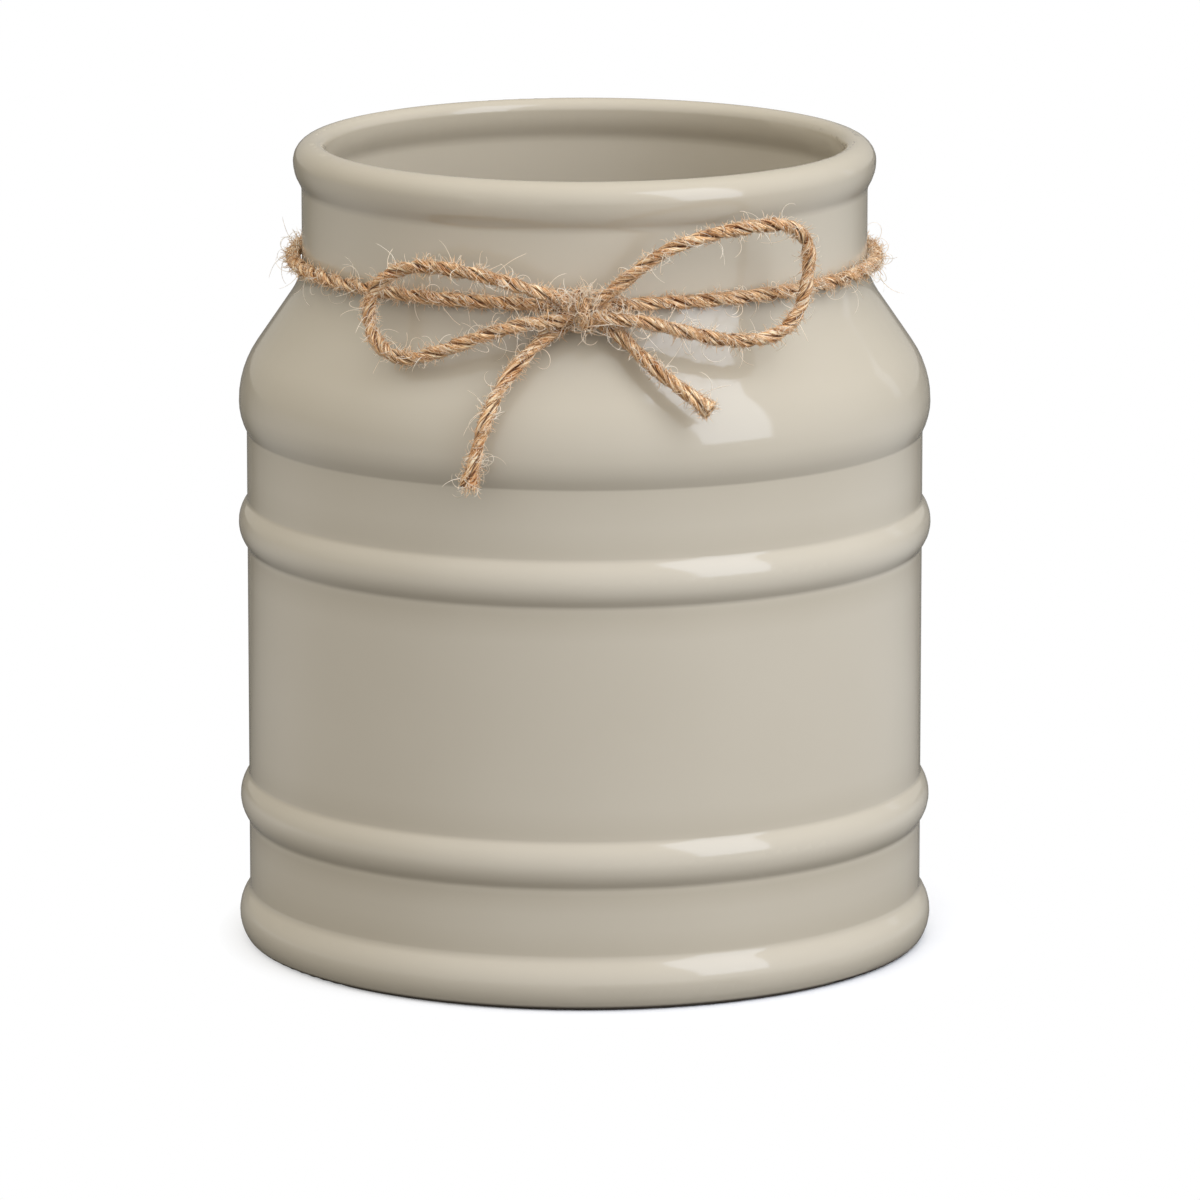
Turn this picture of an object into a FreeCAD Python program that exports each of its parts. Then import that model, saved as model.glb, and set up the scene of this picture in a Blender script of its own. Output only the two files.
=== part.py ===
import FreeCAD, Part
import math
import os

# Utensil crock with a twine bow. Millimetres, +Z up, the origin on the table under the
# middle of the crock. The bow is at the front, which faces -Y.

# Crock: overall and walls
overall_height = 174.0
body_radius = 72.8
body_wall = 5.0
neck_radius = 60.7
neck_wall = 3.0
floor_thickness = 6.0
floor_corner_radius = 9.0

# Foot bead and foot ring
foot_proud = 2.2
foot_crest_height = 5.1
foot_crest_radius = 8.0
foot_root_radius = 3.0
foot_edge_radius = 2.0
foot_ring_width = 9.0
underside_recess = 1.6

# Raised bands round the body
band_heights = (31.0, 91.2)
band_proud = 1.85
band_crest_radius = 7.2
band_root_radius = 1.9

# Shoulder, from its crest up to the neck
shoulder_height = 117.7
shoulder_proud = 1.65
shoulder_crest_radius = 20.8
shoulder_under_radius = 13.0
shoulder_root_radius = 1.5
shoulder_slope_deg = 34.5
neck_foot_radius = 15.0

# Rolled rim
rim_proud = 1.8
rim_under_radius = 8.6
rim_root_radius = 3.6
rim_inner_proud = 2.0
rim_inner_under_radius = 9.6
rim_inner_root_radius = 4.6
lip_outer_radius = 4.4

# Twine
twine_diameter = 3.1
twine_clearance = 0.3
knot_turns = 1
knot_turn_gap = 0.55
knot_bore_radius = 1.7
knot_core_clearance = 0.1
knot_cheek_radius = 4.4
knot_cheek_thickness = 0.8
trim_margin = 0.1
arc_share = 0.45

# Where each strand leaves the knot's cheek, as (y, z) from the middle of the knot
wrap_exit = (1.7, 0.7)
loop_upper_exit = (-1.4, 2.9)
loop_lower_exit = (-1.9, -1.6)
tail_exit = (0.9, -3.2)

# Routes of the bow, from the middle of the knot. The knot's own exits begin and end them.
left_loop_route = [
    (-10.0, -1.7, 4.2), (-17.2, -1.3, 6.6), (-27.2, 1.9, 8.5), (-36.0, 7.2, 8.5),
    (-42.8, 11.6, 4.9), (-45.5, 13.0, -1.4), (-44.0, 10.6, -8.6), (-38.3, 6.3, -11.8),
    (-29.7, 2.4, -9.0), (-18.4, -0.9, -4.0), (-10.1, -2.0, -2.0),
]
right_loop_route = [
    (9.8, -1.9, 7.8), (17.0, -2.7, 13.4), (26.2, -1.6, 16.4), (35.4, 1.4, 17.6),
    (42.4, 5.4, 17.4), (46.9, 8.4, 13.6), (46.9, 9.4, 6.8), (45.4, 8.4, -1.2),
    (41.3, 5.4, -6.0), (32.2, 1.4, -7.1), (22.4, -1.1, -4.6), (11.8, -2.3, -1.7),
]
left_tail_route = [
    (-8.4, -0.4, -5.6), (-14.1, -3.1, -10.9), (-18.8, -6.6, -17.4), (-22.0, -9.4, -25.8),
    (-24.0, -10.3, -35.5),
]
right_tail_route = [
    (8.4, -0.6, -5.8), (13.9, -3.6, -11.0), (20.0, -6.9, -15.1), (26.2, -9.6, -19.3),
]

# Sizes that follow from those above
shoulder_radius = body_radius + shoulder_proud
rim_radius = neck_radius + rim_proud
body_bore = body_radius - body_wall
neck_bore = neck_radius - neck_wall
lip_inner_radius = rim_proud + neck_wall + rim_inner_proud - lip_outer_radius
shoulder_slope = math.radians(shoulder_slope_deg)
slope_rise = (shoulder_crest_radius + neck_foot_radius) * math.sin(shoulder_slope)
slope_set_back = (shoulder_crest_radius + neck_foot_radius) * (1 - math.cos(shoulder_slope))
slope_run = (shoulder_radius - neck_radius - slope_set_back) / math.tan(shoulder_slope)
neck_foot_height = shoulder_height + slope_rise + slope_run
twine_radius = twine_diameter / 2
wrap_radius = neck_radius + twine_clearance + twine_radius
knot_turn_radius = knot_bore_radius + twine_radius
knot_pitch = twine_diameter + knot_turn_gap
knot_half_width = (knot_turns * knot_pitch + twine_diameter) / 2 + knot_core_clearance
knot_face = knot_half_width + knot_cheek_thickness
knot_y = -(neck_radius + twine_clearance + knot_turn_radius + twine_radius)
knot_centre = FreeCAD.Vector(0, knot_y, neck_foot_height - wrap_exit[1])
up = FreeCAD.Vector(0, 0, 1)


def at(radius, height):
    """A point of the crock's half section."""
    return FreeCAD.Vector(radius, 0, height)


def toward(centre, radius, other):
    """The point of a circle that faces another circle's centre, where the two touch."""
    return centre + (other - centre).normalize() * radius


def arc(centre, start, end):
    """The shorter arc round a centre from start to end."""
    radius = (start - centre).Length
    middle = centre + (start + end - centre * 2).normalize() * radius
    return Part.Arc(start, middle, end).toShape()


def joined(edges):
    """A closed face from edges in order, with straight lines across the gaps between them."""
    closed = []
    for edge, following in zip(edges, edges[1:] + edges[:1]):
        end = edge.lastVertex(True).Point
        start = following.firstVertex(True).Point
        closed.append(edge)
        if end.distanceToPoint(start) > 1e-6:
            closed.append(Part.LineSegment(end, start).toShape())
    return Part.Face(Part.Wire(closed))


def backward(edges):
    """The same edges followed the other way."""
    return [edge.reversed() for edge in reversed(edges)]


def crest_centre(wall, height, proud, crest, side=1):
    """Centre of the arc at the crest of a bead."""
    return at(wall + side * (proud - crest), height)


def root_reach(proud, crest, root):
    """How far above or below a bead's crest its root fillet meets the wall."""
    return math.sqrt(proud * (2 * (crest + root) - proud))


def lower_half(wall, height, proud, crest, root, side=1):
    """Root fillet and crest arc from the wall below a bead up to its crest. Side -1 is inside a bore."""
    centre = crest_centre(wall, height, proud, crest, side)
    foot = height - root_reach(proud, crest, root)
    fillet = at(wall + side * root, foot)
    touch = toward(centre, crest, fillet)
    return [arc(fillet, at(wall, foot), touch), arc(centre, touch, at(wall + side * proud, height))]


def upper_half(wall, height, proud, crest, root):
    """Crest arc and root fillet from a bead's crest up to the wall above it."""
    centre = crest_centre(wall, height, proud, crest)
    head = height + root_reach(proud, crest, root)
    fillet = at(wall + root, head)
    touch = toward(centre, crest, fillet)
    return [arc(centre, at(wall + proud, height), touch), arc(fillet, touch, at(wall, head))]


def shoulder_and_neck(crest, crest_arc, neck, foot_arc):
    """Convex shoulder arc and hollow neck arc with their common tangent between them."""
    low = at(crest - crest_arc, shoulder_height)
    high = at(neck + foot_arc, neck_foot_height)
    across = high - low
    lean = math.asin((crest_arc + foot_arc) / across.Length) - math.atan2(across.x, across.z)
    normal = at(math.cos(lean), math.sin(lean))
    leave = low + normal * crest_arc
    reach = high - normal * foot_arc
    return [arc(low, at(crest, shoulder_height), leave), arc(high, reach, at(neck, neck_foot_height))]


def foot_edges():
    """Recessed underside, foot ring, its rounded outer edge and the bead above it."""
    crest = crest_centre(body_radius, foot_crest_height, foot_proud, foot_crest_radius)
    drop = foot_crest_height - foot_edge_radius
    inset = foot_crest_radius - foot_edge_radius
    edge = at(crest.x + math.sqrt(inset ** 2 - drop ** 2), foot_edge_radius)
    touch = crest + (edge - crest).normalize() * foot_crest_radius
    ring = edge.x - foot_ring_width
    recess_edge = at(ring - underside_recess, underside_recess)
    underside = Part.LineSegment(at(0, underside_recess), recess_edge).toShape()
    inner_round = arc(at(ring, underside_recess), recess_edge, at(ring, 0))
    outer_round = arc(edge, at(edge.x, 0), touch)
    crest_edge = arc(crest, touch, at(body_radius + foot_proud, foot_crest_height))
    top = upper_half(body_radius, foot_crest_height, foot_proud, foot_crest_radius, foot_root_radius)
    return [underside, inner_round, outer_round, crest_edge] + top


def rim_edges():
    """Rolled rim: a bead outside the neck, the lip rolled outwards and a bead inside the neck."""
    crown = at(rim_radius - lip_outer_radius, overall_height)
    outer_roll = at(crown.x, overall_height - lip_outer_radius)
    inner_roll = at(crown.x, overall_height - lip_inner_radius)
    outer = lower_half(neck_radius, outer_roll.z, rim_proud, rim_under_radius, rim_root_radius)
    inner = lower_half(
        neck_bore, inner_roll.z, rim_inner_proud, rim_inner_under_radius, rim_inner_root_radius, -1)
    return outer + [
        arc(outer_roll, at(rim_radius, outer_roll.z), crown),
        arc(inner_roll, crown, at(crown.x - lip_inner_radius, inner_roll.z)),
    ] + backward(inner)


def bore_edges():
    """Inside of the neck, shoulder and body, down to the rounded corner of the floor."""
    inside = shoulder_and_neck(
        body_bore, shoulder_crest_radius - body_wall, neck_bore, neck_foot_radius + neck_wall)
    corner_height = underside_recess + floor_thickness + floor_corner_radius
    corner = at(body_bore - floor_corner_radius, corner_height)
    floor_end = at(corner.x, corner.z - floor_corner_radius)
    inner_floor = Part.LineSegment(floor_end, at(0, floor_end.z)).toShape()
    return backward(inside) + [arc(corner, at(body_bore, corner_height), floor_end), inner_floor]


def crock_body():
    """The pot, turned from its half section."""
    profile = foot_edges()
    for height in band_heights:
        profile += lower_half(body_radius, height, band_proud, band_crest_radius, band_root_radius)
        profile += upper_half(body_radius, height, band_proud, band_crest_radius, band_root_radius)
    profile += lower_half(
        body_radius, shoulder_height, shoulder_proud, shoulder_under_radius, shoulder_root_radius)
    profile += shoulder_and_neck(shoulder_radius, shoulder_crest_radius, neck_radius, neck_foot_radius)
    profile += rim_edges() + bore_edges()
    return joined(profile).revolve(FreeCAD.Vector(), up, 360)


def swept(path, name):
    """A round tube of the twine's size along a path, with its volume held against its length."""
    start = path.OrderedEdges[0]
    along = start.tangentAt(start.FirstParameter)
    section = Part.Wire(Part.makeCircle(twine_radius, start.valueAt(start.FirstParameter), along))
    tube = path.makePipeShell([section], True, False)
    share = tube.Volume / (math.pi * twine_radius ** 2 * path.Length)
    print(name, "length %.1f mm, volume over section times length %.4f" % (path.Length, share))
    return tube


def routed(points, name):
    """A tube along straight runs joined by tangent arcs as large as the runs allow."""
    edges = []
    radii = []
    last = points[0]
    for before, corner, after in zip(points, points[1:], points[2:]):
        arrive = corner - before
        leave = after - corner
        reach = arc_share * min(arrive.Length, leave.Length)
        half_turn = arrive.getAngle(leave) / 2
        radius = reach / math.tan(half_turn)
        start = corner - arrive.normalize() * reach
        end = corner + leave.normalize() * reach
        inward = (leave - arrive).normalize()
        middle = corner + inward * (radius / math.cos(half_turn) - radius)
        edges.append(Part.LineSegment(last, start).toShape())
        edges.append(Part.Arc(start, middle, end).toShape())
        radii.append(round(radius, 1))
        last = end
    edges.append(Part.LineSegment(last, points[-1]).toShape())
    print(name, "bend radii", radii)
    return swept(Part.Wire(edges), name)


def knot_exit(side, offset):
    """Point of the knot's left (-1) or right (+1) face where a strand leaves it."""
    return knot_centre + FreeCAD.Vector(side * knot_face, offset[0], offset[1])


def from_knot(route):
    return [knot_centre + FreeCAD.Vector(*point) for point in route]


def into_knot(exit_point, following):
    """An end lengthened until all of its slanting section lies past the knot's face."""
    inward = (exit_point - following).normalize()
    slant = math.hypot(inward.y, inward.z) / abs(inward.x)
    return exit_point + inward * (twine_radius * slant + trim_margin)


def knot_space():
    """The block between the knot's faces, which trims the strands flush with them."""
    reach = 4 * knot_cheek_radius
    corner = knot_centre - FreeCAD.Vector(knot_face, reach / 2, reach / 2)
    return Part.makeBox(2 * knot_face, reach, reach, corner)


def loop(side, route, name):
    """A loop of the bow, from the knot's face and back to it."""
    points = from_knot(route)
    upper = into_knot(knot_exit(side, loop_upper_exit), points[0])
    lower = into_knot(knot_exit(side, loop_lower_exit), points[-1])
    return routed([upper] + points + [lower], name).cut(knot_space())


def tail(side, route, name):
    """A cut end of the twine, from the knot's face to its tip."""
    points = from_knot(route)
    start = into_knot(knot_exit(side, tail_exit), points[0])
    return routed([start] + points, name).cut(knot_space())


def neck_wrap():
    """The turn round the neck: straight off the ring to the knot's faces on both sides."""
    right_end = knot_exit(1, wrap_exit)
    ahead = math.hypot(right_end.x, right_end.y)
    off_ring = math.atan2(right_end.x, -right_end.y) + math.acos(wrap_radius / ahead)
    touch = FreeCAD.Vector(
        wrap_radius * math.sin(off_ring), -wrap_radius * math.cos(off_ring), right_end.z)
    behind = FreeCAD.Vector(0, wrap_radius, right_end.z)
    right_start = into_knot(right_end, touch)
    mirrored = FreeCAD.Vector(-touch.x, touch.y, touch.z)
    left_start = FreeCAD.Vector(-right_start.x, right_start.y, right_start.z)
    path = Part.Wire([
        Part.LineSegment(right_start, touch).toShape(),
        Part.Arc(touch, behind, mirrored).toShape(),
        Part.LineSegment(mirrored, left_start).toShape(),
    ])
    return swept(path, "twine_neck_wrap").cut(knot_space())


def knot_turn(angle):
    """Point and direction on the binding turns, which wind about X from the back of the knot."""
    advance = knot_pitch / (2 * math.pi)
    start = -knot_turns * knot_pitch / 2
    point = knot_centre + FreeCAD.Vector(
        start + advance * angle, knot_turn_radius * math.cos(angle), knot_turn_radius * math.sin(angle))
    along = FreeCAD.Vector(
        advance, -knot_turn_radius * math.sin(angle), knot_turn_radius * math.cos(angle))
    return point, along.normalize()


def tangent_arc(start, along, reach, end):
    """Arc from start to end that leaves start along a direction and has equal tangents of that reach."""
    corner = start + along * reach
    chord_middle = (start + end) * 0.5
    half_chord = (end - start).Length / 2
    half_turn = math.acos(half_chord / reach)
    rise = (corner - chord_middle).normalize() * half_chord * math.tan(half_turn / 2)
    return Part.Arc(start, chord_middle + rise, end).toShape()


def knot_wrap():
    """The knot's binding turns, one unbroken tube on two arcs for each quarter turn."""
    edges = []
    quarters = 4 * knot_turns
    for quarter in range(quarters):
        start, start_along = knot_turn(quarter * math.pi / 2)
        end, end_along = knot_turn((quarter + 1) * math.pi / 2)
        span = end - start
        both = start_along + end_along
        square = 2 * (1 - start_along.dot(end_along))
        reach = (math.sqrt(span.dot(both) ** 2 + square * span.dot(span)) - span.dot(both)) / square
        middle = (start + end + (start_along - end_along) * reach) * 0.5
        edges.append(tangent_arc(start, start_along, reach, middle))
        edges.append(tangent_arc(end, -end_along, reach, middle).reversed())
    path = Part.Wire(edges)
    print("twine_knot_wrap least gap between turns %.2f mm" % least_turn_gap())
    return swept(path, "twine_knot_wrap")


def least_turn_gap():
    """Smallest distance between the surfaces of turns that lie beside each other, on points."""
    steps = 48
    apart = 3 * steps // 4
    points = [knot_turn(2 * math.pi * step / steps)[0] for step in range(steps * knot_turns + 1)]
    gaps = [
        one.distanceToPoint(two)
        for place, one in enumerate(points)
        for two in points[place + apart:]
    ]
    return min(gaps) - twine_diameter


def knot_core():
    """The strands bound inside the turns, spread out into a cheek on each side."""
    waist = knot_bore_radius - knot_core_clearance
    outline = [
        (-knot_face, 0), (-knot_face, knot_cheek_radius), (-knot_half_width, knot_cheek_radius),
        (-knot_half_width, waist), (knot_half_width, waist), (knot_half_width, knot_cheek_radius),
        (knot_face, knot_cheek_radius), (knot_face, 0), (-knot_face, 0),
    ]
    points = [knot_centre + FreeCAD.Vector(along, 0, radius) for along, radius in outline]
    return Part.Face(Part.makePolygon(points)).revolve(knot_centre, FreeCAD.Vector(1, 0, 0), 360)


def main():
    solids = {
        "crock_body": crock_body(),
        "twine_neck_wrap": neck_wrap(),
        "twine_knot_core": knot_core(),
        "twine_knot_wrap": knot_wrap(),
        "twine_left_loop": loop(-1, left_loop_route, "twine_left_loop"),
        "twine_right_loop": loop(1, right_loop_route, "twine_right_loop"),
        "twine_left_tail": tail(-1, left_tail_route, "twine_left_tail"),
        "twine_right_tail": tail(1, right_tail_route, "twine_right_tail"),
    }
    os.makedirs("parts", exist_ok=True)
    for name, solid in solids.items():
        print(name, "valid", solid.isValid(), "solids", len(solid.Solids), "volume %.1f" % solid.Volume)
        solid.exportStep("parts/%s.step" % name)


main()
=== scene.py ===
import math
import random
import bpy
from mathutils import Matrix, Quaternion, Vector, noise
from mathutils.bvhtree import BVHTree


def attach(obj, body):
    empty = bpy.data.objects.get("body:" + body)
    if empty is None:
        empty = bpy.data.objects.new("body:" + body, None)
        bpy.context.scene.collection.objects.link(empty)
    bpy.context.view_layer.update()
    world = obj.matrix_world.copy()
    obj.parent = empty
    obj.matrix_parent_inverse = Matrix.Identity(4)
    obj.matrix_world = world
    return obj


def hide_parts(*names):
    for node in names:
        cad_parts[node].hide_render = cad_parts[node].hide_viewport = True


# Utensil crock with a jute twine bow. Metres, +Z up, the front faces -Y.

# Camera
camera_place = (0.0033, -2.0, 0.487)
camera_aim = (0.0033, 0.0, 0.0731)
camera_lens = 283.2
sensor_width = 36.0
camera_reach = 50

# Glaze: heights up the crock with how deep the glaze lies there, thin on the beads and pooled beside them. This
# is partly painted light and shade: the dark lines in the roots under the beads and the darker shoulder slope
# and rim are painted shade, and the lighter crests are painted light
crock_height = 0.174
glaze_depths_and_painted_shade = [
    (0.0051, 0.2), (0.0125, 0.8), (0.0170, 0.4), (0.0205, 0.4), (0.0245, 1.0), (0.0266, 0.2), (0.0310, 0.1),
    (0.0379, 0.8), (0.0430, 0.4), (0.0790, 0.4), (0.0847, 1.0), (0.0868, 0.2), (0.0912, 0.1), (0.0982, 0.8),
    (0.1030, 0.5), (0.1105, 0.8), (0.1177, 0.6), (0.1260, 0.9), (0.1400, 0.9), (0.1480, 0.5),
    (0.1633, 0.7), (0.1680, 1.0),
]
glaze_thin_and_lit = (0.594, 0.535, 0.430, 1)
glaze_pooled_and_shaded = (0.474, 0.416, 0.316, 1)
# Bare clay of the foot ring, made dark enough to stand in for the contact shadow under the foot: partly its own
# colour, partly painted shade
bare_clay_and_contact_shade = (0.110, 0.092, 0.070, 1)
bare_foot_heights = (0.0007, 0.0012)

# Surface of the glaze: clouds in its depth, smears with the roughness that they give, and a ripple with grain
cloud_scale = 24.0
cloud_share = 0.35
smear_scale = 60.0
smear_range = (0.3, 0.7)
smear_roughness = (0.06, 0.10)
ripple_scale = 75.0
grain_scale = 900.0
grain_share = 0.04
ripple_strength = 0.12
ripple_height = 0.0004

# Patches of the crock that meet at less than this angle are shaded as one surface, where their corners agree to
# this many decimals
seam_cosine = math.cos(math.radians(25))
seam_decimals = 6

# Twine: plies laid round each other, each of lines of fibre that turn round it
twine_diameter = 0.0031
ply_count = 2
ply_offset = 0.00058
ply_depth = 0.00072
ply_width = 0.00108
lay_length = 0.0135
tail_lay_length = 0.0230
fibre_turn_length = 0.0260
fibre_lines = 30
line_relief = 0.00016
line_run = 0.0060
swell_share = 0.11
swell_run = 0.0070
ring_spacing = 0.0005
cut_flare = 0.45
cut_flare_run = 0.0035
route_resolution = 16
route_order = 3
path_spacing = 0.001

# How far apart plies, stretches and lines of fibre lie in the noise that shapes them
swell_ply_step = 9.7
swell_seed_step = 3.1
relief_ply_step = 7.3
relief_line_step = 0.55

# Looks of the twine: fibre by streak, tint by patch, painted shade in the groove between the plies, and hairs
# by tone
streak_scale = (4.0, 14.0, 1.0)
streak_strength = 0.6
streak_height = 0.0003
jute_roughness = 0.85
fibre_colours = [
    (0.37, (0.120, 0.036, 0.008, 1)), (0.45, (0.560, 0.265, 0.088, 1)),
    (0.52, (0.910, 0.595, 0.310, 1)), (0.61, (1.000, 0.850, 0.600, 1)),
]
patch_scale = (1.7, 2.4, 1.0)
patch_tints = [
    (0.30, (0.78, 0.62, 0.50, 1)), (0.50, (1.0, 1.0, 1.0, 1)), (0.70, (1.02, 1.06, 1.08, 1)),
]
# Painted shade in the groove between the plies: its colour, and the outer shares over which it fades to none
groove_painted_shade = (0.17, 0.075, 0.034, 1)
groove_shade_reach = (0.08, 0.38)
hair_colours = [
    (0.0, (0.180, 0.066, 0.018, 1)), (0.4, (0.610, 0.310, 0.112, 1)),
    (0.7, (0.900, 0.605, 0.325, 1)), (1.0, (1.000, 0.920, 0.780, 1)),
]
hair_roughness = 0.6
hair_sheen = 0.8
hair_sheen_tint = (1.0, 0.86, 0.66, 1)

# Hairs of the twine: count for a metre, steps of each, and from and to for length, thickness, curl in radians
# and tone, which goes from 0 for brown to 1 for cream
fuzz = dict(
    count=11000, length=(0.0007, 0.0026), thickness=(0.00012, 0.00018), curl=(0.3, 2.4), tone=(0.42, 1.0),
    steps=4)
strays = dict(
    count=950, length=(0.0025, 0.0088), thickness=(0.00013, 0.00020), curl=(0.8, 4.5), tone=(0.88, 1.0),
    steps=12)
laid = dict(
    count=3600, length=(0.0018, 0.0050), thickness=(0.00013, 0.00020), tone=(0.0, 1.0),
    steps=6)
creeping = dict(
    count=4400, length=(0.0016, 0.0042), thickness=(0.00012, 0.00018), curl=(1.0, 4.5), tone=(0.15, 1.0),
    steps=9)
tangled = dict(
    length=(0.0030, 0.0070), thickness=(0.00015, 0.00024), curl=(1.5, 7.0), tone=(0.25, 1.0),
    steps=16)
tufted = dict(
    length=(0.0018, 0.0050), thickness=(0.00013, 0.00021), curl=(0.2, 2.0), tone=(0.80, 1.0),
    steps=8)
curled = dict(
    length=(0.0040, 0.0090), thickness=(0.00013, 0.00019), curl=(2.0, 6.0), tone=(0.90, 1.0),
    steps=14)
wall_gap = 0.00016
hair_corners = 3
hair_taper = 0.5
hair_wobble = 0.05

# Hairs that stand off a ply: spread of their roots round it, depth of the roots, and lean along and across it
stand_spread = 0.8
stand_depth = 0.0001
stand_lean_along = 0.8
stand_lean_across = 0.6

# Hairs that lie along a ply: spread round it, drift for a step, lift off it, and peel at the end
laid_spread = 0.9
laid_drift = 0.10
laid_lift = 0.00004
laid_peel = (0.00002, 0.00030)

# Hairs that creep over the plies: spread round them and lift off them
creep_spread = 1.0
creep_lift = (0.00006, 0.00030)

# Hairs at a cut end: count, rings before the end, angles round the ply, and spread
tip_hairs = 70
tip_rings = (0, 4)
tip_angles = (-3, 3)
tip_spread = (0.2, 1.4)

# Middle of the knot and the binding turn round it
knot_centre = Vector((0.0, -0.0658, 0.1481))
knot_turns = 1
knot_turn_radius = 0.00325
knot_pitch = 0.00365
knot_points_per_turn = 12

# Mounds of tangled hair on the knot and the strands beside it: middle from the knot's, half sizes and hairs.
# Their hairs start at a share of the mound's size, rise and waver
tangle_mounds = [
    ((0.0, 0.0, 0.0002), (0.0046, 0.0053, 0.0044), 140),
    ((-0.0060, -0.0002, 0.0002), (0.0042, 0.0038, 0.0045), 90),
    ((0.0058, -0.0002, 0.0), (0.0033, 0.0037, 0.0043), 50),
]
mound_lift = (0.90, 1.08)
mound_rise = 0.004
mound_waver = 0.012

# Tufts of hair: root and way from the knot, hairs and their kind
tufts = [
    ((0.0004, -0.0030, 0.0036), (0.2, -0.5, 1.0), 28, tufted),
    ((-0.0022, -0.0034, 0.0028), (-0.5, -0.6, 0.8), 12, tufted),
    ((0.0024, -0.0036, 0.0020), (0.6, -0.7, 0.5), 10, tufted),
    ((0.0010, -0.0040, -0.0034), (0.2, -0.6, -1.0), 6, tufted),
    ((-0.0225, -0.0098, -0.0305), (0.9, -0.2, 0.2), 12, curled),
    ((-0.0240, -0.0103, -0.0340), (-0.5, -0.4, -0.4), 6, curled),
]
tuft_spread = 0.0009
tuft_fan = 0.8

# Ring of twine round the neck, and how it leaves the knot
wrap_radius = 0.0631
wrap_height = 0.1488
wrap_start_degrees = 27.0
wrap_points = 22
wrap_start_route = [(0.0010, 0.0015, 0.0005), (0.0043, 0.0017, 0.0007)]

# Routes of the bow, from the middle of the knot
inside_route = [
    (-0.0050, -0.0004, 0.0006), (-0.0020, -0.0002, -0.0003),
    (0.0020, 0.0002, 0.0004), (0.0050, 0.0002, -0.0006),
]
left_loop_route = [
    (-0.0015, -0.0004, 0.0012), (-0.0043, -0.0014, 0.0029),
    (-0.0100, -0.0017, 0.0042), (-0.0172, -0.0013, 0.0066), (-0.0272, 0.0019, 0.0085),
    (-0.0360, 0.0072, 0.0085), (-0.0428, 0.0116, 0.0049), (-0.0455, 0.0130, -0.0014),
    (-0.0440, 0.0106, -0.0086), (-0.0383, 0.0063, -0.0118), (-0.0297, 0.0024, -0.0090),
    (-0.0184, -0.0009, -0.0040), (-0.0101, -0.0020, -0.0020),
    (-0.0043, -0.0019, -0.0016), (-0.0015, -0.0004, -0.0006),
]
right_loop_route = [
    (0.0015, -0.0004, 0.0012), (0.0043, -0.0014, 0.0031),
    (0.0098, -0.0019, 0.0078), (0.0170, -0.0027, 0.0134), (0.0262, -0.0016, 0.0164),
    (0.0354, 0.0014, 0.0176), (0.0424, 0.0054, 0.0174), (0.0469, 0.0084, 0.0136),
    (0.0469, 0.0094, 0.0068), (0.0454, 0.0084, -0.0012), (0.0413, 0.0054, -0.0060),
    (0.0322, 0.0014, -0.0071), (0.0224, -0.0011, -0.0046), (0.0118, -0.0023, -0.0017),
    (0.0043, -0.0019, -0.0016), (0.0015, -0.0004, -0.0006),
]
left_tail_route = [
    (-0.0010, 0.0004, -0.0008), (-0.0043, 0.0009, -0.0032),
    (-0.0084, -0.0004, -0.0056), (-0.0141, -0.0031, -0.0109), (-0.0188, -0.0066, -0.0174),
    (-0.0220, -0.0094, -0.0258), (-0.0240, -0.0103, -0.0355),
]
right_tail_route = [
    (0.0010, 0.0004, -0.0008), (0.0043, 0.0009, -0.0032),
    (0.0084, -0.0006, -0.0058), (0.0139, -0.0036, -0.0110), (0.0200, -0.0069, -0.0151),
    (0.0262, -0.0096, -0.0193),
]

# Light: the way the sky is brightest, its levels from opposite to there, and the colours of the lamps
sky_axis = (0.45, -0.68, 0.58)
sky_levels = [
    (0.0, (0.66, 0.632, 0.572, 1)), (0.5, (0.83, 0.812, 0.772, 1)), (1.0, (1.31, 1.315, 1.350, 1)),
]
key_colour = (0.92, 1.00, 1.16)
fill_colour = (1.00, 0.98, 0.92)

# Lamps: azimuth, elevation, size, power, colour, and whether gloss shows them
lamp_distance = 1.0
lamps = [
    ("key", 50, 34, (0.48, 1.08), 4.45, key_colour, True),
    ("left_fill", -105, 40, (0.80, 0.90), 1.5, fill_colour, False),
    ("back_fill", 180, 10, (0.90, 0.90), 2.4, fill_colour, False),
    ("front_fill", 18, 15, (0.80, 0.80), 0.5, key_colour, False),
    ("right_back", 126, 14, (0.08, 0.30), 0.03, key_colour, True),
]

# Sky and floor are dim straight behind the crock: the cosines between which they open, and the shares there
behind_reach = (0.85, 0.25)
sky_behind_share = 0.60
floor_behind_share = 0.05

# Floor: its half size, its colour to the camera, its roughness, the middle of its shadow, the distances from
# there between which the shadow ends, and its colour to light behind the crock and elsewhere
floor_half = 6.0
floor_white = (0.950, 0.950, 0.950, 1)
floor_roughness = 0.9
shadow_middle = (0.008, 0.0, 0.0)
shadow_reach = (0.074, 0.088)
floor_bounces = ((0.070, 0.066, 0.057, 1), (0.105, 0.098, 0.083, 1))

# Share of white that gloss shows of the floor: more towards the brightest sky, and less near the crock
mirrored_reach = (-0.80, 0.50)
mirrored_shares = (0.62, 1.0)
near_reach = (0.08, 0.30)
near_share = 0.06

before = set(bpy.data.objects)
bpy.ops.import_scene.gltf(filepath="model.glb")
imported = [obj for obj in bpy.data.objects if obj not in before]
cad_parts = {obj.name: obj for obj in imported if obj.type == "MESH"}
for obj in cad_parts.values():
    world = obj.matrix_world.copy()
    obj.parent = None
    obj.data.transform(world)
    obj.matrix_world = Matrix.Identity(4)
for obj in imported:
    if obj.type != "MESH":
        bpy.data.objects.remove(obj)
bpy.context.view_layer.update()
scene = bpy.context.scene


def add_object(name, data):
    made = bpy.data.objects.new(name, data)
    scene.collection.objects.link(made)
    return made


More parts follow.
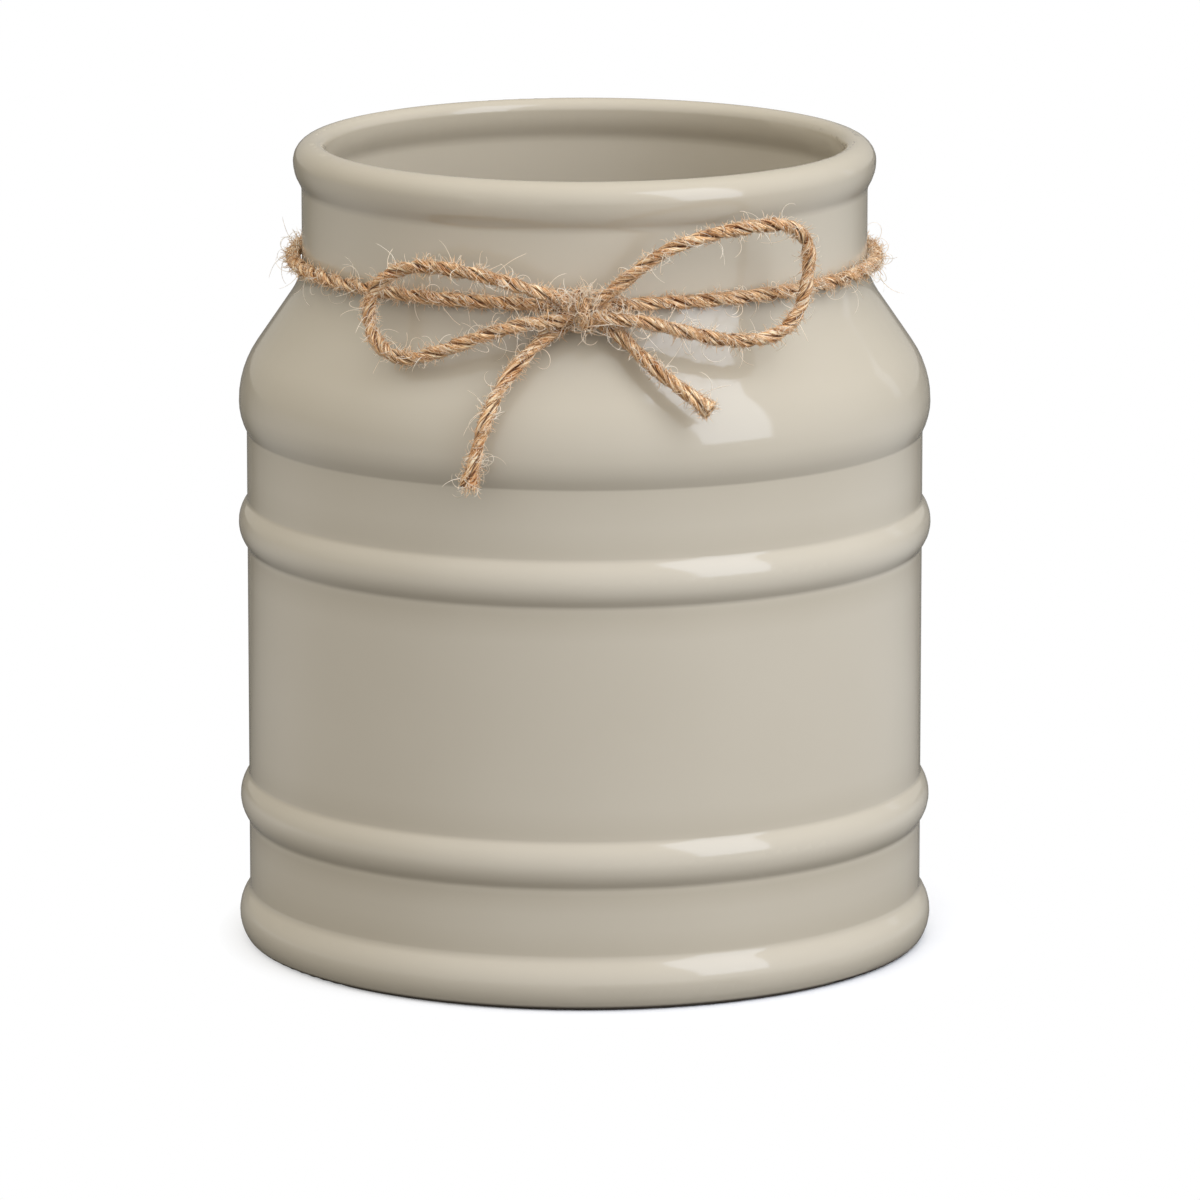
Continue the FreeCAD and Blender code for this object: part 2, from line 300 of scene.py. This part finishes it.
def smooth_line(points):
    """Points along the smooth curve that a route's points control."""
    curve = bpy.data.curves.new("route", "CURVE")
    curve.dimensions = "3D"
    curve.resolution_u = route_resolution
    spline = curve.splines.new("NURBS")
    spline.points.add(len(points) - 1)
    for control, point in zip(spline.points, points):
        control.co = (*point, 1.0)
    spline.order_u = route_order
    spline.use_endpoint_u = True
    holder = add_object("route", curve)
    mesh = bpy.data.meshes.new_from_object(holder)
    line = [vertex.co.copy() for vertex in mesh.vertices]
    bpy.data.objects.remove(holder)
    bpy.data.curves.remove(curve)
    bpy.data.meshes.remove(mesh)
    return line


def line_length(line):
    return sum((b - a).length for a, b in zip(line, line[1:]))


def evenly(line, spacing):
    """Points at an even spacing along a line, its ends included."""
    steps = max(2, round(line_length(line) / spacing))
    step = line_length(line) / steps
    points = [line[0]]
    ahead = step
    for a, b in zip(line, line[1:]):
        run = (b - a).length
        while ahead <= run and len(points) < steps:
            points.append(a.lerp(b, ahead / run))
            ahead += step
        ahead -= run
    points.append(line[-1])
    return points


def framed(points):
    """Each point with its direction and two normals that don't twist along the line."""
    ends = [points[0]] + points + [points[-1]]
    along = [(after - before).normalized() for before, after in zip(ends, ends[2:])]
    side = along[0].orthogonal().normalized()
    frames = []
    last = along[0]
    for point, direction in zip(points, along):
        side = (last.rotation_difference(direction) @ side).normalized()
        frames.append((point, direction, side, direction.cross(side)))
        last = direction
    return frames


def shade_smooth(mesh):
    mesh.polygons.foreach_set("use_smooth", [True] * len(mesh.polygons))


def smooth_mesh(name, verts, faces, layer_name, texture):
    """A smooth-shaded mesh with a texture place for each corner of its faces."""
    mesh = bpy.data.meshes.new(name)
    mesh.from_pydata(verts, [], faces)
    layer = mesh.uv_layers.new(name=layer_name)
    layer.data.foreach_set("uv", [number for place in texture for number in place])
    shade_smooth(mesh)
    mesh.update()
    return mesh


def shade_over_seams(mesh):
    """Shading that runs on smoothly where patches of a mesh meet without an edge."""
    areas = [0.0] * len(mesh.vertices)
    for polygon in mesh.polygons:
        for index in polygon.vertices:
            areas[index] += polygon.area
    meeting = {}
    for vertex, area in zip(mesh.vertices, areas):
        meeting.setdefault(vertex.co.to_tuple(seam_decimals), []).append((vertex.normal.copy(), area))
    normals = []
    for vertex in mesh.vertices:
        total = Vector()
        for normal, area in meeting[vertex.co.to_tuple(seam_decimals)]:
            if normal.dot(vertex.normal) > seam_cosine:
                total += normal * area
        normals.append(total.normalized())
    shade_smooth(mesh)
    mesh.normals_split_custom_set_from_vertices(normals)


class Strand:
    """A stretch of twine: plies of fibre laid round each other along a line."""

    def __init__(self, line, seed, lay, flare):
        self.frames = framed(evenly(line, ring_spacing))
        self.last = len(self.frames) - 1
        self.seed = seed
        self.lay = lay
        self.flare = flare

    def frame_at(self, place):
        """Middle, direction and normals at a place that may lie between two rings."""
        low = min(int(place), self.last - 1)
        return [a.lerp(b, place - low) for a, b in zip(self.frames[low], self.frames[low + 1])]

    def surface(self, ply, place, angle, lift=0.0):
        """Point of a ply at a place along the strand and an angle round the ply, lifted off it."""
        centre, along, side, up = self.frame_at(place)
        run = place * ring_spacing
        turn = 2 * math.pi * (ply / ply_count + run / self.lay) + self.seed
        out = side * math.cos(turn) + up * math.sin(turn)
        across = up * math.cos(turn) - side * math.sin(turn)
        spot = (run / swell_run, swell_ply_step * ply, swell_seed_step * self.seed)
        swell = 1 + swell_share * noise.noise(spot)
        loose = 1 + self.flare * max(0.0, 1 - (self.last - place) * ring_spacing / cut_flare_run)
        deep = ply_depth * swell + lift
        wide = ply_width * swell + lift
        outward = out * (ply_offset + deep * math.cos(angle))
        sideways = across * (wide * math.sin(angle))
        return centre + (outward + sideways) * loose

    def fibre_turn(self, place):
        """How far the fibres of a ply have turned round it at a ring."""
        return 2 * math.pi * place * ring_spacing / fibre_turn_length

    def mesh(self, name):
        verts = []
        faces = []
        texture = []
        outer_share = []
        rings = len(self.frames)
        for ply in range(ply_count):
            first = len(verts)
            for place in range(rings):
                run = place * ring_spacing
                for line in range(fibre_lines):
                    angle = 2 * math.pi * line / fibre_lines + self.fibre_turn(place)
                    apart = relief_ply_step * ply + self.seed
                    lift = line_relief * noise.noise((relief_line_step * line, run / line_run, apart))
                    verts.append(self.surface(ply, place, angle, lift))
                    # How far each point faces out from the strand, which the jute material uses to paint shade
                    # in the groove between the plies
                    outer_share.append(0.5 + 0.5 * math.cos(angle))
            for place in range(rings - 1):
                start = place * ring_spacing / lay_length
                end = start + ring_spacing / lay_length
                for line in range(fibre_lines):
                    after = (line + 1) % fibre_lines
                    a = first + place * fibre_lines
                    b = a + fibre_lines
                    faces.append((a + line, a + after, b + after, b + line))
                    low = ply + line / fibre_lines
                    high = low + 1 / fibre_lines
                    texture += [(start, low), (start, high), (end, high), (end, low)]
            last = first + (rings - 1) * fibre_lines
            faces.append(tuple(range(first + fibre_lines - 1, first - 1, -1)))
            faces.append(tuple(range(last, last + fibre_lines)))
            texture += [(0.0, 0.5)] * (2 * fibre_lines)
        made = smooth_mesh(name, verts, faces, "along_ply", texture)
        made.attributes.new("outer_share", "FLOAT", "POINT").data.foreach_set("value", outer_share)
        return made


class Hairs:
    """Fine hairs gathered into one mesh, each kept out of the crock's wall."""

    def __init__(self, seed):
        self.chance = random.Random(seed)
        self.verts = []
        self.faces = []
        self.tones = []

    def between(self, ends):
        return self.chance.uniform(*ends)

    def any_way(self):
        gauss = self.chance.gauss
        return Vector((gauss(0, 1), gauss(0, 1), gauss(0, 1))).normalized()

    def add(self, points, kind):
        """A closed hair along the points, thinner towards its tip."""
        for point in points:
            near, normal, _, _ = crock_wall.find_nearest(point)
            if (point - near).dot(normal) < wall_gap:
                return
        thickness = self.between(kind["thickness"])
        tone = self.between(kind["tone"])
        first = len(self.verts)
        last = len(points) - 1
        for place, (centre, along, side, up) in enumerate(framed(points)[:-1]):
            radius = thickness / 2 * (1 - hair_taper * place / last)
            for corner in range(hair_corners):
                angle = 2 * math.pi * corner / hair_corners
                self.verts.append(centre + (side * math.cos(angle) + up * math.sin(angle)) * radius)
        tip = len(self.verts)
        self.verts.append(points[-1])
        end = tip - hair_corners
        root = tuple(range(first + hair_corners - 1, first - 1, -1))
        faces = [root]
        for corner in range(hair_corners):
            after = (corner + 1) % hair_corners
            for a in range(first, end, hair_corners):
                b = a + hair_corners
                faces.append((a + corner, a + after, b + after, b + corner))
            faces.append((end + corner, end + after, tip))
        self.faces += faces
        self.tones += [(tone, 0.5)] * sum(len(face) for face in faces)

    def grow(self, start, heading, kind):
        """A hair that leaves start along heading and bends as it goes."""
        steps = kind["steps"]
        step_length = self.between(kind["length"]) / steps
        axis = heading.cross(self.any_way()).normalized()
        bend = Quaternion(axis, self.between(kind["curl"]) / steps)
        points = [start]
        for step in range(steps):
            points.append(points[-1] + heading * step_length)
            heading = (bend @ heading + self.any_way() * hair_wobble).normalized()
        self.add(points, kind)

    def number(self, kind, strand):
        """Hairs of a kind on the whole of a strand."""
        return round(kind["count"] * ring_spacing * strand.last)

    def stand_off(self, strand, kind):
        """Hairs that stand off a strand, at any place along and round it."""
        chance = self.chance
        for _ in range(self.number(kind, strand)):
            place = chance.uniform(0, strand.last)
            ply = chance.randrange(ply_count)
            root = strand.surface(ply, place, chance.gauss(0, stand_spread), -stand_depth)
            centre, along, _, _ = strand.frame_at(place)
            out = (root - centre).normalized()
            heading = out + along * chance.gauss(0, stand_lean_along)
            heading += out.cross(along) * chance.gauss(0, stand_lean_across)
            self.grow(root, heading.normalized(), kind)

    def lie_along(self, strand, kind):
        """Loose fibres that follow a ply's own and peel off it at their ends."""
        chance = self.chance
        steps = kind["steps"]
        for _ in range(self.number(kind, strand)):
            ply = chance.randrange(ply_count)
            stride = self.between(kind["length"]) / steps / ring_spacing
            start = chance.uniform(0, max(0.0, strand.last - steps * stride))
            first_angle = chance.gauss(0, laid_spread)
            drift = chance.gauss(0, laid_drift)
            peel = self.between(laid_peel)
            points = []
            for step in range(steps + 1):
                place = min(start + step * stride, strand.last)
                angle = first_angle + strand.fibre_turn(place - start) + drift * step
                points.append(strand.surface(ply, place, angle, laid_lift + peel * (step / steps) ** 3))
            self.add(points, kind)

    def creep_over(self, strand, kind):
        """Curled hairs that creep over the plies in any direction."""
        chance = self.chance
        steps = kind["steps"]
        for _ in range(self.number(kind, strand)):
            ply = chance.randrange(ply_count)
            place = chance.uniform(0, strand.last)
            angle = chance.gauss(0, creep_spread)
            heading = chance.uniform(0, 2 * math.pi)
            curl = chance.choice((-1, 1)) * self.between(kind["curl"]) / steps
            stride = self.between(kind["length"]) / steps
            lift = self.between(creep_lift)
            points = []
            for _ in range(steps + 1):
                points.append(strand.surface(ply, min(max(place, 0), strand.last), angle, lift))
                place += stride * math.cos(heading) / ring_spacing
                angle += stride * math.sin(heading) / ply_width
                heading += curl
            self.add(points, kind)

    def spread_from_tip(self, strand):
        """Hairs that spread from the cut end of a strand."""
        centre, along, _, _ = strand.frames[strand.last]
        for _ in range(tip_hairs):
            ply = self.chance.randrange(ply_count)
            place = strand.last - self.between(tip_rings)
            root = strand.surface(ply, place, self.between(tip_angles))
            spread = (root - centre) / twine_diameter
            self.grow(root, (along + spread * self.between(tip_spread)).normalized(), fuzz)

    def wander_over(self, middle, half_sizes, count, kind):
        """Curled hairs that wander over a mound."""
        steps = kind["steps"]
        for _ in range(count):
            place = self.any_way()
            heading = place.cross(self.any_way()).normalized()
            turn = self.chance.choice((-1, 1)) * self.between(kind["curl"]) / steps
            stride = self.between(kind["length"]) / steps / half_sizes.y
            lift = self.between(mound_lift)
            points = []
            for _ in range(steps):
                points.append(middle + place * half_sizes * lift)
                place = (place + heading * stride).normalized()
                heading = Quaternion(place, turn) @ heading
                heading = (heading - place * heading.dot(place)).normalized()
                lift += self.chance.gauss(mound_rise, mound_waver)
            self.add(points, kind)

    def tuft(self, root, way, count, kind):
        """Hairs that fan out from a root."""
        for _ in range(count):
            start = root + self.any_way() * tuft_spread
            self.grow(start, (way.normalized() + self.any_way() * tuft_fan).normalized(), kind)

    def mesh(self, name):
        return smooth_mesh(name, self.verts, self.faces, "hair_tone", self.tones)


class Tree:
    """A node tree with short ways to add nodes and join them."""

    def __init__(self, owner):
        owner.use_nodes = True
        self.nodes = owner.node_tree.nodes
        self.links = owner.node_tree.links

    def put(self, socket, value):
        """Set a socket to a value, or join another socket to it."""
        if isinstance(value, bpy.types.NodeSocket):
            self.links.new(value, socket)
        else:
            socket.default_value = value

    def add(self, kind, inputs=(), **settings):
        """A node with its settings and inputs."""
        made = self.nodes.new("ShaderNode" + kind)
        for name, value in settings.items():
            setattr(made, name, value)
        for key, value in dict(inputs).items():
            self.put(made.inputs[key], value)
        return made

    def ramp(self, source, stops):
        """Colours at places from 0 to 1 of a source."""
        made = self.add("ValToRGB", {"Fac": source})
        elements = made.color_ramp.elements
        while len(elements) < len(stops):
            elements.new(1.0)
        for element, (position, colour) in zip(elements, stops):
            element.position = position
            element.color = colour
        return made.outputs["Color"]

    def mix(self, share, a, b, blend="MIX"):
        """One colour changed towards another by a share."""
        made = self.add("Mix", {"Factor": share}, data_type="RGBA", blend_type=blend)
        self.put(made.inputs["A"], a)
        self.put(made.inputs["B"], b)
        return made.outputs["Result"]

    def between(self, source, low, high, new_low, new_high):
        """A number brought from one range to another, held at its ends."""
        return self.add("MapRange", {
            "Value": source, "From Min": low, "From Max": high, "To Min": new_low, "To Max": new_high,
        }).outputs["Result"]

    def product(self, a, b):
        return self.add("Math", {0: a, 1: b}, operation="MULTIPLY").outputs[0]

    def shade(self, **inputs):
        """Values and sockets for the surface shader, spaces in their names written as underscores."""
        shader = self.nodes["Principled BSDF"]
        for name, value in inputs.items():
            self.put(shader.inputs[name.replace("_", " ")], value)


def grey(value):
    return (value, value, value, 1)


def glaze_material():
    """Warm grey gloss glaze, deeper beside the beads, with painted shade under the beads, on the shoulder and
    on the rim, painted light on the crests, and bare clay on the foot ring darkened as painted shade.
    """
    made = bpy.data.materials.new("glaze")
    tree = Tree(made)
    place = tree.add("TexCoord").outputs["Object"]
    height = tree.add("SeparateXYZ", {"Vector": place}).outputs["Z"]
    share = tree.between(height, 0, crock_height, 0, 1)
    # Painted shade and light: the depth table darkens the roots under the beads, the shoulder slope and the
    # rim, and lightens the crests
    depth_and_shade = tree.ramp(share, [(at / crock_height, grey(deep)) for at, deep in glaze_depths_and_painted_shade])
    clouds = tree.add("TexNoise", {"Vector": place, "Scale": cloud_scale, "Detail": 3.0}).outputs["Fac"]
    clouded_depth_and_shade = tree.mix(cloud_share, depth_and_shade, clouds)
    colour = tree.mix(clouded_depth_and_shade, glaze_thin_and_lit, glaze_pooled_and_shaded)
    # Painted shade: the dark bare clay of the foot ring also stands in for the contact shadow under the foot
    bare_foot_and_shade = tree.between(height, *bare_foot_heights, 1, 0)
    grain = tree.add("TexNoise", {"Vector": place, "Scale": grain_scale, "Detail": 2.0}).outputs["Fac"]
    smear = tree.add("TexNoise", {"Vector": place, "Scale": smear_scale, "Detail": 4.0}).outputs["Fac"]
    gloss = tree.between(smear, *smear_range, *smear_roughness)
    rough = tree.add("Math", {0: gloss, 1: bare_foot_and_shade}, operation="MAXIMUM").outputs[0]
    ripple = tree.add("TexNoise", {"Vector": place, "Scale": ripple_scale, "Detail": 1.0}).outputs["Fac"]
    surface = tree.add("Math", {0: grain, 1: grain_share, 2: ripple}, operation="MULTIPLY_ADD").outputs[0]
    bump = tree.add("Bump", {"Height": surface, "Strength": ripple_strength, "Distance": ripple_height})
    tree.shade(
        Base_Color=tree.mix(bare_foot_and_shade, colour, bare_clay_and_contact_shade), Roughness=rough, Normal=bump.outputs["Normal"])
    return made


def jute_material():
    """Twisted jute: streaks of pale and brown fibre, with painted shade in the groove between the plies."""
    made = bpy.data.materials.new("jute")
    tree = Tree(made)
    along = tree.add("UVMap", uv_map="along_ply").outputs["UV"]
    stretched = tree.add("Mapping", {"Vector": along, "Scale": streak_scale}).outputs["Vector"]
    streaks = tree.add("TexNoise", {"Vector": stretched, "Scale": 1.0, "Detail": 4.0}).outputs["Fac"]
    fibre_colour = tree.ramp(streaks, fibre_colours)
    spread = tree.add("Mapping", {"Vector": along, "Scale": patch_scale}).outputs["Vector"]
    patches = tree.add("TexNoise", {"Vector": spread, "Scale": 1.0, "Detail": 2.0}).outputs["Fac"]
    tinted = tree.mix(1.0, fibre_colour, tree.ramp(patches, patch_tints), "MULTIPLY")
    # Painted shade: the side of each ply that faces into the twine is darkened, where the groove between the
    # plies lies
    outer = tree.add("Attribute", attribute_name="outer_share").outputs["Fac"]
    groove_shade = tree.ramp(outer, list(zip(groove_shade_reach, (groove_painted_shade, grey(1.0)))))
    bump = tree.add("Bump", {"Height": streaks, "Strength": streak_strength, "Distance": streak_height})
    colour = tree.mix(1.0, tinted, groove_shade, "MULTIPLY")
    tree.shade(Base_Color=colour, Roughness=jute_roughness, Normal=bump.outputs["Normal"])
    return made


def hair_material():
    """Loose jute hairs, from brown to cream."""
    made = bpy.data.materials.new("jute_hair")
    tree = Tree(made)
    tone = tree.add("UVMap", uv_map="hair_tone").outputs["UV"]
    across = tree.add("SeparateXYZ", {"Vector": tone}).outputs["X"]
    colour = tree.ramp(across, hair_colours)
    tree.shade(
        Base_Color=colour, Roughness=hair_roughness, Sheen_Weight=hair_sheen, Sheen_Tint=hair_sheen_tint)
    return made


def from_knot(route):
    return [knot_centre + Vector(point) for point in route]


def wrap_route():
    """Round the neck from the right of the knot to the left of it."""
    start = from_knot(wrap_start_route)
    end = [Vector((-point.x, point.y, point.z)) for point in reversed(start)]
    span = 360 - 2 * wrap_start_degrees
    ring = []
    for place in range(wrap_points):
        angle = math.radians(wrap_start_degrees + span * place / (wrap_points - 1))
        ring.append(Vector((wrap_radius * math.sin(angle), -wrap_radius * math.cos(angle), wrap_height)))
    return start + ring + end


def knot_route():
    """Binding turns about the X axis, from the back of the knot."""
    count = knot_turns * knot_points_per_turn
    route = []
    for place in range(count + 1):
        angle = 2 * math.pi * place / knot_points_per_turn
        along = knot_pitch * (place / knot_points_per_turn - knot_turns / 2)
        route.append(knot_centre + Vector(
            (along, knot_turn_radius * math.cos(angle), knot_turn_radius * math.sin(angle))))
    return route


def on_twine(piece, material):
    piece.data.materials.append(material)
    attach(piece, "twine")
    return piece


def twine_piece(name, route, seed, node, lay=lay_length, cut_end=False):
    """A stretch of twine and its hairs, both moving with the bow."""
    line = smooth_line(route)
    strand = Strand(line, seed, lay, cut_flare if cut_end else 0.0)
    hairs = Hairs(seed)
    hairs.stand_off(strand, fuzz)
    hairs.lie_along(strand, laid)
    hairs.creep_over(strand, creeping)
    hairs.stand_off(strand, strays)
    if cut_end:
        hairs.spread_from_tip(strand)
    core = on_twine(add_object(name, strand.mesh(name)), jute)
    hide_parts(node)
    return core, on_twine(add_object(name + "_hairs", hairs.mesh(name + "_hairs")), hair), line


def declare(line):
    evenly(line, path_spacing)


def seen_share(tree, mirrored):
    """1 for what the camera sees, and a share for what gloss and glass show."""
    path = tree.add("LightPath").outputs
    shown = tree.add("Math", {0: path["Is Glossy Ray"], 1: path["Is Transmission Ray"]}, operation="MAXIMUM")
    less = tree.product(shown.outputs[0], mirrored)
    return tree.add("Math", {0: less, 1: path["Is Camera Ray"]}, operation="MAXIMUM").outputs[0]


def floor_material():
    """White table that keeps the shadow near the crock and is plain white further out."""
    made = bpy.data.materials.new("floor_white")
    tree = Tree(made)
    place = tree.add("NewGeometry").outputs["Position"]
    far = tree.add("VectorMath", {0: place, 1: shadow_middle}, operation="DISTANCE").outputs["Value"]
    way = tree.add("VectorMath", {0: place}, operation="NORMALIZE").outputs["Vector"]
    behind = tree.add("SeparateXYZ", {"Vector": way}).outputs["Y"]
    lit = tree.between(behind, *behind_reach, floor_behind_share, 1)
    toward = tree.add("VectorMath", {0: way, 1: sky_axis}, operation="DOT_PRODUCT").outputs["Value"]
    level = tree.between(toward, *mirrored_reach, *mirrored_shares)
    near = tree.between(far, *near_reach, near_share, 1)
    seen = seen_share(tree, tree.product(tree.product(lit, level), near))
    bounce = tree.mix(lit, *floor_bounces)
    colour = tree.mix(seen, bounce, floor_white)
    tree.shade(Base_Color=colour, Roughness=floor_roughness, Specular_IOR_Level=0.0)
    away = tree.between(far, *shadow_reach, 0, 1)
    share = tree.product(seen, away)
    white = tree.add("Emission").outputs[0]
    mixed = tree.add("MixShader", {0: share, 1: tree.nodes["Principled BSDF"].outputs[0], 2: white})
    tree.links.new(mixed.outputs[0], tree.nodes["Material Output"].inputs["Surface"])
    return made


def add_floor():
    signs = ((-1, -1), (1, -1), (1, 1), (-1, 1))
    corners = [(x * floor_half, y * floor_half, 0) for x, y in signs]
    mesh = bpy.data.meshes.new("floor")
    mesh.from_pydata(corners, [], [(0, 1, 2, 3)])
    floor = add_object("floor", mesh)
    floor.data.materials.append(floor_material())


def add_softbox(name, azimuth, elevation, size, power, colour, mirrored):
    """A rectangular light that faces the crock. Azimuth 0 is the camera's side, 90 the right."""
    middle = Vector((0, 0, crock_height / 2))
    a = math.radians(azimuth)
    e = math.radians(elevation)
    away = Vector((math.sin(a) * math.cos(e), -math.cos(a) * math.cos(e), math.sin(e)))
    data = bpy.data.lights.new(name, "AREA")
    data.shape = "RECTANGLE"
    data.size, data.size_y = size
    data.energy = power
    data.color = colour
    light = add_object(name, data)
    light.location = middle + away * lamp_distance
    light.rotation_euler = away.to_track_quat("Z", "Y").to_euler()
    light.visible_glossy = mirrored


def add_camera():
    data = bpy.data.cameras.new("camera")
    data.lens = camera_lens
    data.sensor_width = sensor_width
    data.clip_end = camera_reach
    camera = add_object("camera", data)
    camera.location = camera_place
    aim = Vector(camera_aim) - Vector(camera_place)
    camera.rotation_euler = aim.to_track_quat("-Z", "Y").to_euler()
    scene.camera = camera


def add_world():
    """Soft sky, brightest towards the front right and dim straight behind the crock."""
    world = bpy.data.worlds.new("studio")
    tree = Tree(world)
    way = tree.add("TexCoord").outputs["Generated"]
    toward = tree.add("VectorMath", {0: way, 1: sky_axis}, operation="DOT_PRODUCT").outputs["Value"]
    colour = tree.ramp(tree.between(toward, -1, 1, 0, 1), sky_levels)
    behind = tree.add("SeparateXYZ", {"Vector": way}).outputs["Y"]
    open_share = tree.between(behind, *behind_reach, sky_behind_share, 1)
    tree.links.new(tree.mix(1.0, colour, open_share, "MULTIPLY"), tree.nodes["Background"].inputs["Color"])
    scene.world = world


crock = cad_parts["crock_body"]
crock_wall = BVHTree.FromPolygons(
    [vertex.co for vertex in crock.data.vertices], [polygon.vertices for polygon in crock.data.polygons])
jute = jute_material()
hair = hair_material()
crock.data.materials.clear()
crock.data.materials.append(glaze_material())
shade_over_seams(crock.data)

turns, turns_hairs, _ = twine_piece("knot_turns", knot_route(), 6, "twine_knot_wrap")
inside, inside_hairs, _ = twine_piece("knot_inside", from_knot(inside_route), 7, "twine_knot_core")
tangle_hairs = Hairs(11)
for middle, half_sizes, count in tangle_mounds:
    tangle_hairs.wander_over(knot_centre + Vector(middle), Vector(half_sizes), count, tangled)
for root, way, count, kind in tufts:
    tangle_hairs.tuft(knot_centre + Vector(root), Vector(way), count, kind)
knot_hairs = on_twine(add_object("knot_tangle", tangle_hairs.mesh("knot_tangle")), hair)
wrap, wrap_hairs, wrap_line = twine_piece("neck_wrap", wrap_route(), 1, "twine_neck_wrap")
declare(
    wrap_line)
for seed, name, route in ((2, "left_loop", left_loop_route), (3, "right_loop", right_loop_route)):
    core, hairs, line = twine_piece(name, from_knot(route), seed, "twine_" + name)
    declare(line)
for seed, name, route in ((4, "left_tail", left_tail_route), (5, "right_tail", right_tail_route)):
    core, hairs, line = twine_piece(
        name, from_knot(route), seed, "twine_" + name, lay=tail_lay_length, cut_end=True)
    declare(line)

add_floor()
for lamp in lamps:
    add_softbox(*lamp)
add_world()
add_camera()
scene.view_settings.view_transform = "Standard"
